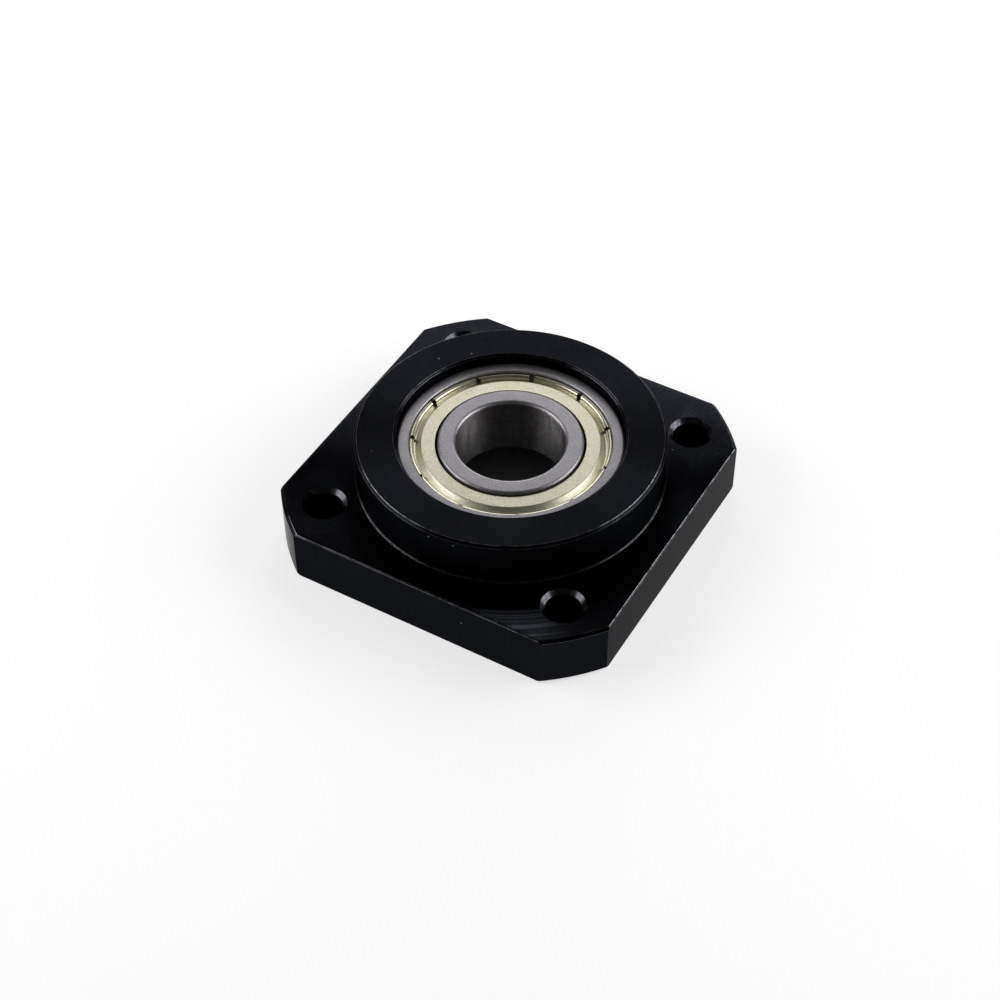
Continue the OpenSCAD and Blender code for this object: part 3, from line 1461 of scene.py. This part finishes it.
@dataclass(frozen=True)
class Bearing:
    """Shielded deep-groove ball bearing: two rings, two shields, a cage and its balls.

    Fields:
        middle: Height of the balls' middle plane above the flange's back face.
        half_width: Half the width of the rings.
        outer_radius: Outer radius of the outer ring.
        inner_land: Outer radius of the inner ring.
        bore_radius: Radius of the bore.
        ball_radius: Radius of a ball.
        ball_count: Number of balls, and of rivets.
        race_depth: Depth of a raceway below its land.
        race_conformity: Radius of a raceway's section for each millimetre of ball diameter.
        race_gap: Gap between a ball and the bottom of a raceway.
        outer_corner: Radius on the outer ring's outer edges.
        bore_corner: Radius on the bore's edges.
        land_corner: Radius on the inner ring's outer edges.
        land_step: Depth of the step in the outer ring's land that takes the shield.
        lip_chamfer: Chamfer on the outer ring's lip.
        groove_reach: Depth of the shield's groove below the lip.
        groove_drop: From the rings' face down to the groove.
        groove_height: Height of the groove.
        sheet: Thickness of a shield's sheet.
        sheet_edge: Radius on the cut edge of a shield's hole.
        flat_bend: Radius of the bend between the flat and the bevel.
        valley_bend: Radius of the bend between the bevel and the valley's floor.
        valley_corner: Radius of the valley's outer corner.
        under_bend: Radius of the other bends on the under side.
        shield_gap: Radial gap between a shield and the inner ring.
        shield_recess: Depth of a shield's flat below the rings' faces.
        rim_width: From the outer ring's lip in to the flat.
        valley_depth: Depth of the valley round the flat.
        valley_inset: From the lip in to the outer side of the valley's floor.
        valley_width: Width of the valley's floor.
        bead_radius: Radius of the bead that the tabs are rolled into.
        tab_reach: How far the tabs' tips reach past the lip.
        tab_lift: Height of the tips above the bottom of the groove.
        tab_count: Number of tabs on a shield.
        slit_width: Width of the slit between two tabs.
        slit_mouth: Radius of the mouth at the foot of a slit.
        slit_phase: Place of the first slit, as a share of the pitch.
        strip: Thickness of the cage's strip.
        rivet_radius: Radius of a rivet's shank.
        rivet_head_radius: Radius of a rivet's head.
        rivet_head_height: Height of a rivet's head.
        rivet_crown: Width of a head's flat crown, as a share of the head's.
        rivet_dome: Radius between the crown and the head's side.
        edge_break: Radius of an edge that is only broken.
    """

    middle: float
    half_width: float
    outer_radius: float
    inner_land: float
    bore_radius: float
    ball_radius: float = 3.175
    ball_count: int = 9
    race_depth: float = 1.075
    race_conformity: float = 0.52
    race_gap: float = 0.02
    outer_corner: float = 0.7
    bore_corner: float = 0.7
    land_corner: float = 0.5
    land_step: float = 1.0
    lip_chamfer: float = 0.12
    groove_reach: float = 0.33
    groove_drop: float = 0.52
    groove_height: float = 0.6
    sheet: float = 0.3
    sheet_edge: float = 0.05
    flat_bend: float = 0.35
    valley_bend: float = 0.15
    valley_corner: float = 0.06
    under_bend: float = 0.1
    shield_gap: float = 0.45
    shield_recess: float = 0.55
    rim_width: float = 2.2
    valley_depth: float = 1.0
    valley_inset: float = 0.85
    valley_width: float = 0.35
    bead_radius: float = 0.5
    tab_reach: float = 0.28
    tab_lift: float = 0.02
    tab_count: int = 11
    slit_width: float = 0.36
    slit_mouth: float = 0.5
    slit_phase: float = 0.27
    strip: float = 0.7
    rivet_radius: float = 0.6
    rivet_head_radius: float = 0.95
    rivet_head_height: float = 0.35
    rivet_crown: float = 0.85
    rivet_dome: float = 0.3
    edge_break: float = 0.04

    @classmethod
    def in_frame(cls) -> "Bearing":
        """Takes the rings' sizes and the middle plane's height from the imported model.

        Returns:
            The bearing.
        """
        low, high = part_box("outer_ring")
        _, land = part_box("inner_ring")
        return cls(
            middle=(low.z + high.z) / 2 / MM,
            half_width=(high.z - low.z) / 2 / MM,
            outer_radius=high.x / MM,
            inner_land=land.x / MM,
            bore_radius=mount_of("shaft_bore")["dims"]["r_mm"],
        )

    @property
    def pitch_radius(self) -> float:
        """Radius of the circle through the balls' centres."""
        return (self.bore_radius + self.outer_radius) / 2

    @property
    def race_radius(self) -> float:
        """Radius of a raceway's section."""
        return self.race_conformity * 2 * self.ball_radius

    @property
    def outer_land(self) -> float:
        """Radius of the outer ring's land."""
        return self.pitch_radius + self.ball_radius - self.race_depth

    @property
    def lip_radius(self) -> float:
        """Radius of the outer ring's lip, beside the shield's rim."""
        return self.outer_land + self.land_step

    @property
    def groove_radius(self) -> float:
        """Radius of the groove that the tabs' tips lie in."""
        return self.lip_radius + self.groove_reach

    @property
    def groove_top(self) -> float:
        """Height of the groove's upper side."""
        return self.half_width - self.groove_drop

    @property
    def groove_bottom(self) -> float:
        """Height of the groove's lower side."""
        return self.groove_top - self.groove_height

    @property
    def valley_radius(self) -> float:
        """Radius of the outer side of the valley's floor."""
        return self.lip_radius - self.valley_inset

    @property
    def valley_foot(self) -> float:
        """Radius of the inner side of the valley's floor."""
        return self.valley_radius - self.valley_width

    @property
    def flat_top(self) -> float:
        """Height of a shield's flat."""
        return self.half_width - self.shield_recess

    @property
    def valley_top(self) -> float:
        """Height of the valley's floor."""
        return self.flat_top - self.valley_depth

    def race(self, ring: Ring) -> list[Corner]:
        """Draws the upper half of a ring's raceway, from its deepest point to the land.

        Args:
            ring: The ring.

        Returns:
            The raceway's points.
        """
        depth = self.ball_radius + self.race_gap - self.race_radius
        centre = self.pitch_radius + ring.value * depth
        outer = ring is Ring.OUTER
        land = self.outer_land if outer else self.inner_land
        edge = math.degrees(math.acos(abs(land - centre) / self.race_radius))
        angles = (0, edge) if outer else (180, 180 - edge)
        return arc((centre, 0), self.race_radius, *angles, steps=16)[1:]

    def outer_section(self) -> list[Point]:
        """Draws the outer ring, with the step and groove for each shield.

        Returns:
            The section's points.
        """
        small, lip, top = self.edge_break, self.lip_radius, self.half_width
        step = self.valley_top - self.sheet
        upper = [
            *self.race(Ring.OUTER),
            (self.outer_land, step, 0),
            (lip, step, small),
            (lip, self.groove_bottom, 0),
            (self.groove_radius, self.groove_bottom, small),
            (self.groove_radius, self.groove_top, small),
            (lip, self.groove_top, small),
            (lip, top - self.lip_chamfer, small),
            (lip + self.lip_chamfer, top, small),
            (self.outer_radius, top, self.outer_corner),
        ]
        return rounded(both_halves(upper), steps=6)

    def inner_section(self) -> list[Point]:
        """Draws the inner ring.

        Returns:
            The section's points.
        """
        upper = [
            *self.race(Ring.INNER),
            (self.inner_land, self.half_width, self.land_corner),
            (self.bore_radius, self.half_width, self.bore_corner),
        ]
        return rounded(both_halves(upper), steps=8)

    def shield_section(self) -> list[Point]:
        """Draws a shield: flat, bevel, valley and the rolled bead of the tabs.

        Returns:
            The section's points.
        """
        top, valley, thin, bead = self.flat_top, self.valley_top, self.sheet, self.bead_radius
        hole, flat = self.inner_land + self.shield_gap, self.lip_radius - self.rim_width
        hub = (self.valley_radius + bead, top - bead)
        tip, floor = self.lip_radius + self.tab_reach, self.groove_bottom + self.tab_lift
        under = thin / 2
        return rounded(
            [
                (hole, top - thin, self.sheet_edge),
                (hole, top, self.sheet_edge),
                (flat, top, self.flat_bend),
                (self.valley_foot, valley, self.valley_bend),
                (self.valley_radius, valley, self.valley_corner),
                *arc(hub, bead, 180, 45, steps=14),
                (tip, floor + under, 0),
                (tip, floor, 0),
                (self.lip_radius, floor, 0),
                *arc(hub, bead - thin, 40, 180, steps=8),
                (self.valley_radius + thin, valley - thin, self.under_bend),
                (self.valley_foot - under, valley - thin, self.valley_bend),
                (flat - under, top - thin, self.under_bend),
            ],
            steps=5,
        )

    def slit_cutter(self) -> bpy.types.Mesh:
        """Makes one slit between two tabs, flared to a round mouth at the valley.

        Returns:
            The cutter, at angle zero.
        """
        mouth, half = self.slit_mouth, self.slit_width / 2
        centre, end = self.valley_foot + mouth, self.groove_radius + mouth
        round_end, flare = 0.95 * mouth, 0.6 * mouth
        side = [
            (centre - mouth, mouth, round_end),
            (centre + flare, mouth, flare),
            (centre + 2 * flare, half, flare),
            (end, half, 0),
        ]
        outline = rounded([*((x, -y, radius) for x, y, radius in side), *reversed(side)], steps=6)
        low, high = self.valley_top - 2 * self.sheet, self.half_width
        return prism("slit cutter", outline, low, high, along=Axis.Z)

    def build_rings(self, shop: Workshop) -> None:
        """Turns the two rings, and hones the bore.

        Args:
            shop: Its tools and finishes.
        """
        outer = shop.lathe.turn("outer ring", self.outer_section(), self.middle, steps=320)
        inner = shop.lathe.turn("inner ring", self.inner_section(), self.middle, steps=256)
        shop.finished_piece(
            "outer_race_ring", outer, GROUND_STEEL, Slot.RING, Body.HOUSING, "outer_ring"
        )
        ring = shop.finished_piece(
            "inner_race_ring", inner, GROUND_STEEL, Slot.RING, Body.INNER_RING, "inner_ring"
        )
        bore = (self.bore_radius + self.edge_break) * MM
        shop.refinish(ring, HONED_STEEL, lambda face: face.center.xy.length < bore)

    def build_shields(self, shop: Workshop) -> None:
        """Presses the two shields, the rear one a mirror image of the front one.

        Args:
            shop: Its tools and finishes.
        """
        disc = shop.lathe.turn("shield blank", self.shield_section(), steps=352)
        turn = self.slit_phase * 360 / self.tab_count
        slits = shop.dividing_head.repeat(self.slit_cutter(), self.tab_count, turn)
        slit_disc = carved(disc, slits)
        for side, name in ((1, "front"), (-1, "rear")):
            shield = slit_disc.copy()
            for vertex in shield.vertices:
                vertex.co.z = side * vertex.co.z + self.middle * MM
            if side < 0:
                shield.flip_normals()
            shop.finished_piece(
                f"{name}_shield_disc",
                shield,
                ZINC_SHEET,
                Slot.SHIELD,
                Body.HOUSING,
                f"{name}_shield",
            )

    def build_rivets(self, shop: Workshop) -> None:
        """Turns one rivet with its two domed heads, and repeats it between the balls.

        Args:
            shop: Its tools and finishes.
        """
        head, shank, strip = self.rivet_head_radius, self.rivet_radius, self.strip
        top = strip + self.rivet_head_height
        upper = [
            (shank, strip, 0),
            (head, strip, 0),
            (self.rivet_crown * head, top, self.rivet_dome),
            (0, top, 0),
        ]
        rivet = shop.lathe.turn("rivet", rounded(both_halves(upper)), self.middle, steps=24)
        for vertex in rivet.vertices:
            vertex.co.x += self.pitch_radius * MM
        half_pitch = 180 / self.ball_count
        rivets = shop.dividing_head.repeat(rivet, self.ball_count, half_pitch)
        shop.finished_piece(
            "cage_rivet_set", rivets, TUMBLED_STRIP, Slot.CAGE, Body.CAGE, "cage_rivets"
        )

    def dress_inside(self, shop: Workshop) -> None:
        """Gives the cage's halves and the balls, whose CAD shape is right, their finish.

        Args:
            shop: Its tools and finishes.
        """
        finishes = {"front_cage": TUMBLED_STRIP, "rear_cage": TUMBLED_STRIP}
        finishes |= {f"ball_{number + 1}": LAPPED_BALL for number in range(self.ball_count)}
        for name, finish in finishes.items():
            frame["nodes"][name].material_slots[0].material = shop.material(finish)
            LOG.info("%s: CAD shape kept, %s", name, finish.name)

    def build(self, shop: Workshop) -> None:
        """Builds every piece of the bearing.

        Args:
            shop: Its tools and finishes.
        """
        self.build_rings(shop)
        self.build_shields(shop)
        self.build_rivets(shop)
        self.dress_inside(shop)


# ---- Studio ----


@dataclass(frozen=True)
class View:
    """Where the camera stands round the part, in degrees and millimetres.

    Fields:
        azimuth: Degrees round from the front.
        elevation: Degrees above the floor.
        roll: Turn of the picture.
        distance: Distance from the part's origin.
        slide_right: How far the camera stands to the right of that line.
        slide_up: How far it stands above that line.
        lens: Focal length.
    """

    azimuth: float = 30.35
    elevation: float = 46.16
    roll: float = -0.41
    distance: float = 390.6
    slide_right: float = -2.02
    slide_up: float = 1.57
    lens: float = 74.59

    def direction(self, turn: float, elevation: float) -> Vector:
        """Finds a direction from the part, by its angle to the camera's own.

        Args:
            turn: Degrees round from the camera towards its right.
            elevation: Degrees above the floor.

        Returns:
            A unit vector.
        """
        around, rise = math.radians(self.azimuth + turn), math.radians(elevation)
        level = math.cos(rise)
        return Vector((math.sin(around) * level, -math.cos(around) * level, math.sin(rise)))

    def build(self) -> None:
        """Makes the scene's camera."""
        back = self.direction(0, self.elevation)
        right = self.direction(90, 0)
        up = back.cross(right)
        lens = bpy.data.cameras.new("camera")
        lens.lens = self.lens
        lens.clip_start, lens.clip_end = 0.01, 20.0
        camera = bpy.data.objects.new("camera", lens)
        spot = back * self.distance + right * self.slide_right + up * self.slide_up
        camera.location = spot * MM
        camera.rotation_mode = "QUATERNION"
        roll = Quaternion((0, 0, 1), math.radians(self.roll))
        camera.rotation_quaternion = back.to_track_quat("Z", "Y") @ roll
        bpy.context.scene.collection.objects.link(camera)
        bpy.context.scene.camera = camera
        LOG.info("camera at %.1f, %.1f degrees", self.azimuth, self.elevation)


@dataclass(frozen=True)
class SoftBox:
    """A rectangular lamp that faces the part.

    Fields:
        name: Name of the lamp.
        turn: Degrees round from the camera towards its right.
        elevation: Degrees above the floor.
        distance: Distance from the part's origin, in millimetres.
        width: Width of the lamp, in millimetres.
        height: Height of the lamp, in millimetres.
        radiance: How bright its face is.
    """

    name: str
    turn: float
    elevation: float
    distance: float
    width: float
    height: float
    radiance: float

    def build(self, view: View) -> None:
        """Hangs the lamp.

        Args:
            view: The camera's place, from which the lamp's turn counts.
        """
        lamp = bpy.data.lights.new(self.name, "AREA")
        lamp.shape = "RECTANGLE"
        lamp.size, lamp.size_y = self.width * MM, self.height * MM
        lamp.energy = self.radiance * math.pi * lamp.size * lamp.size_y
        stand = bpy.data.objects.new(self.name, lamp)
        towards = view.direction(self.turn, self.elevation)
        stand.location = towards * self.distance * MM
        stand.rotation_mode = "QUATERNION"
        stand.rotation_quaternion = towards.to_track_quat("Z", "Y")
        stand.visible_camera = False
        bpy.context.scene.collection.objects.link(stand)
        LOG.info("%s: %.0f degrees round, %.0f up", self.name, self.turn, self.elevation)


@dataclass(frozen=True)
class Studio:
    """Soft lamps, a dim room and a white floor, with painted shade under the part.

    Fields:
        view: Where the camera stands.
        floor_size: Width of the floor, in millimetres.
        floor_drop: How far the floor lies below the part, in millimetres.
        floor_glow: What the floor adds to its own light where it is seen.
        floor_colour: Colour of the floor, sRGB.
        painted_floor_shade: Darker colour of the floor under the part, a painted shade, sRGB.
        shade_start: Where the painted shade under the part starts to turn pale, in millimetres.
        shade_end: Where it has its own colour, in millimetres.
        corner_share: How much of that distance counts towards the part's round corners.
        room_level: Brightness of the room.
        dark_level: Brightness of the room behind the camera.
        dark_reach: Degrees round the camera up to which the room is at its darkest.
        dark_edge: Degrees round the camera at which the room is at its own level.
        lamps: The lamps.
    """

    view: View = View()
    floor_size: float = 6000.0
    floor_drop: float = 0.05
    floor_glow: float = 0.64
    floor_colour: str = "#C4C4C4"
    painted_floor_shade: str = "#8C8C8C"
    shade_start: float = 31.5
    shade_end: float = 33.5
    corner_share: float = 0.8
    room_level: float = 0.07
    dark_level: float = 0.03
    dark_reach: float = 20.0
    dark_edge: float = 40.0
    lamps: tuple[SoftBox, ...] = (
        SoftBox(
            "left softbox",
            turn=-92,
            elevation=30,
            distance=450,
            width=380,
            height=300,
            radiance=2.9,
        ),
        SoftBox(
            "right softbox",
            turn=92,
            elevation=30,
            distance=450,
            width=380,
            height=300,
            radiance=3.3,
        ),
        SoftBox(
            "back panel",
            turn=177,
            elevation=24,
            distance=500,
            width=360,
            height=347,
            radiance=1.95,
        ),
        SoftBox(
            "back strip",
            turn=180,
            elevation=52,
            distance=500,
            width=36,
            height=105,
            radiance=1.7,
        ),
    )

    def build_room(self) -> None:
        """Paints the room: pale all round, with the camera's side dark."""
        world = bpy.data.worlds.new("studio room")
        world.use_nodes = True
        tree = world.node_tree
        tree.nodes.clear()
        towards = add_node(tree, "ShaderNodeTexCoord").outputs["Generated"]
        front = self.view.direction(0, self.view.elevation)
        share = add_node(
            tree, "ShaderNodeVectorMath", {0: towards, 1: tuple(front)}, operation="DOT_PRODUCT"
        ).outputs["Value"]
        level = add_node(
            tree,
            "ShaderNodeMapRange",
            {
                "Value": share,
                "From Min": math.cos(math.radians(self.dark_edge)),
                "From Max": math.cos(math.radians(self.dark_reach)),
                "To Min": self.room_level,
                "To Max": self.dark_level,
            },
            interpolation_type="SMOOTHSTEP",
        ).outputs[0]
        light = add_node(
            tree, "ShaderNodeBackground", {"Color": linear("#FFFFFF"), "Strength": level}
        )
        add_node(tree, "ShaderNodeOutputWorld", {"Surface": light.outputs[0]})
        bpy.context.scene.world = world

    def open_floor(self, tree: bpy.types.NodeTree) -> Socket:
        """Tells the open floor from the floor under the part, which is square with round corners.

        Args:
            tree: The floor's material tree.

        Returns:
            0 under the part, where the floor takes painted shade, rising to 1 outside it.
        """
        place = add_node(tree, "ShaderNodeTexCoord").outputs["Object"]
        off_axis = add_node(tree, "ShaderNodeVectorMath", {0: place}, operation="ABSOLUTE")
        sides = add_node(tree, "ShaderNodeSeparateXYZ", {0: off_axis.outputs[0]}).outputs
        square = add_node(
            tree, "ShaderNodeMath", {0: sides["X"], 1: sides["Y"]}, operation="MAXIMUM"
        ).outputs[0]
        reach = add_node(tree, "ShaderNodeVectorMath", {0: place}, operation="LENGTH")
        disc = add_node(
            tree,
            "ShaderNodeMath",
            {0: reach.outputs["Value"], 1: self.corner_share},
            operation="MULTIPLY",
        ).outputs[0]
        furthest = add_node(
            tree, "ShaderNodeMath", {0: square, 1: disc}, operation="MAXIMUM"
        ).outputs[0]
        return add_node(
            tree,
            "ShaderNodeMapRange",
            {
                "Value": furthest,
                "From Min": self.shade_start * MM,
                "From Max": self.shade_end * MM,
            },
        ).outputs[0]

    def board_material(self) -> bpy.types.Material:
        """Matt white board that also glows a little where it is seen or reflected; under the part
        it is painted darker and does not glow, a painted shade.

        Returns:
            The floor's material.
        """
        material = bpy.data.materials.new("matt white board")
        material.use_nodes = True
        tree = material.node_tree
        tree.nodes.clear()
        rays = add_node(tree, "ShaderNodeLightPath").outputs
        seen = add_node(
            tree,
            "ShaderNodeMath",
            {0: rays["Is Camera Ray"], 1: rays["Is Glossy Ray"]},
            operation="MAXIMUM",
        ).outputs[0]
        seen = add_node(
            tree, "ShaderNodeMath", {0: seen, 1: rays["Is Transmission Ray"]}, operation="MAXIMUM"
        ).outputs[0]
        # Under the part the floor loses its glow and its white colour: painted shade, seen through
        # the bore and holes.
        outside = self.open_floor(tree)
        share = add_node(
            tree, "ShaderNodeMath", {0: seen, 1: outside}, operation="MULTIPLY"
        ).outputs[0]
        glow = add_node(
            tree, "ShaderNodeMath", {0: share, 1: self.floor_glow}, operation="MULTIPLY"
        ).outputs[0]
        # The darker colour under the part is a painted shade.
        board = add_node(
            tree,
            "ShaderNodeMix",
            {"Factor": outside, 6: linear(self.painted_floor_shade), 7: linear(self.floor_colour)},
            data_type="RGBA",
        ).outputs[2]
        shader = add_node(
            tree,
            "ShaderNodeBsdfPrincipled",
            {
                "Base Color": board,
                "Roughness": 0.9,
                "Specular IOR Level": 0.1,
                "Emission Color": linear("#FFFFFF"),
                "Emission Strength": glow,
            },
        )
        add_node(tree, "ShaderNodeOutputMaterial", {"Surface": shader.outputs[0]})
        return material

    def build_floor(self) -> None:
        """Lays the floor, white to the eye and in reflections, with the part's shadow and painted
        shade under the part.
        """
        half, drop = self.floor_size / 2 * MM, -self.floor_drop * MM
        turns = ((-1, -1), (1, -1), (1, 1), (-1, 1))
        mesh = bpy.data.meshes.new("floor")
        mesh.from_pydata([(x * half, y * half, drop) for x, y in turns], [], [(0, 1, 2, 3)])
        mesh.materials.append(self.board_material())
        floor = bpy.data.objects.new("floor", mesh)
        bpy.context.scene.collection.objects.link(floor)

    def build(self) -> None:
        """Sets up the camera, the lamps, the room and the floor."""
        self.view.build()
        for lamp in self.lamps:
            lamp.build(self.view)
        self.build_room()
        self.build_floor()
        bpy.context.scene.view_settings.view_transform = "Standard"


def main() -> None:
    """Builds the studio and the part."""
    logging.basicConfig(level=logging.INFO, format="%(message)s")
    shop = Workshop()
    Studio().build()
    Housing.in_frame().build(shop)
    Bearing.in_frame().build(shop)


if __name__ == "__main__":
    main()
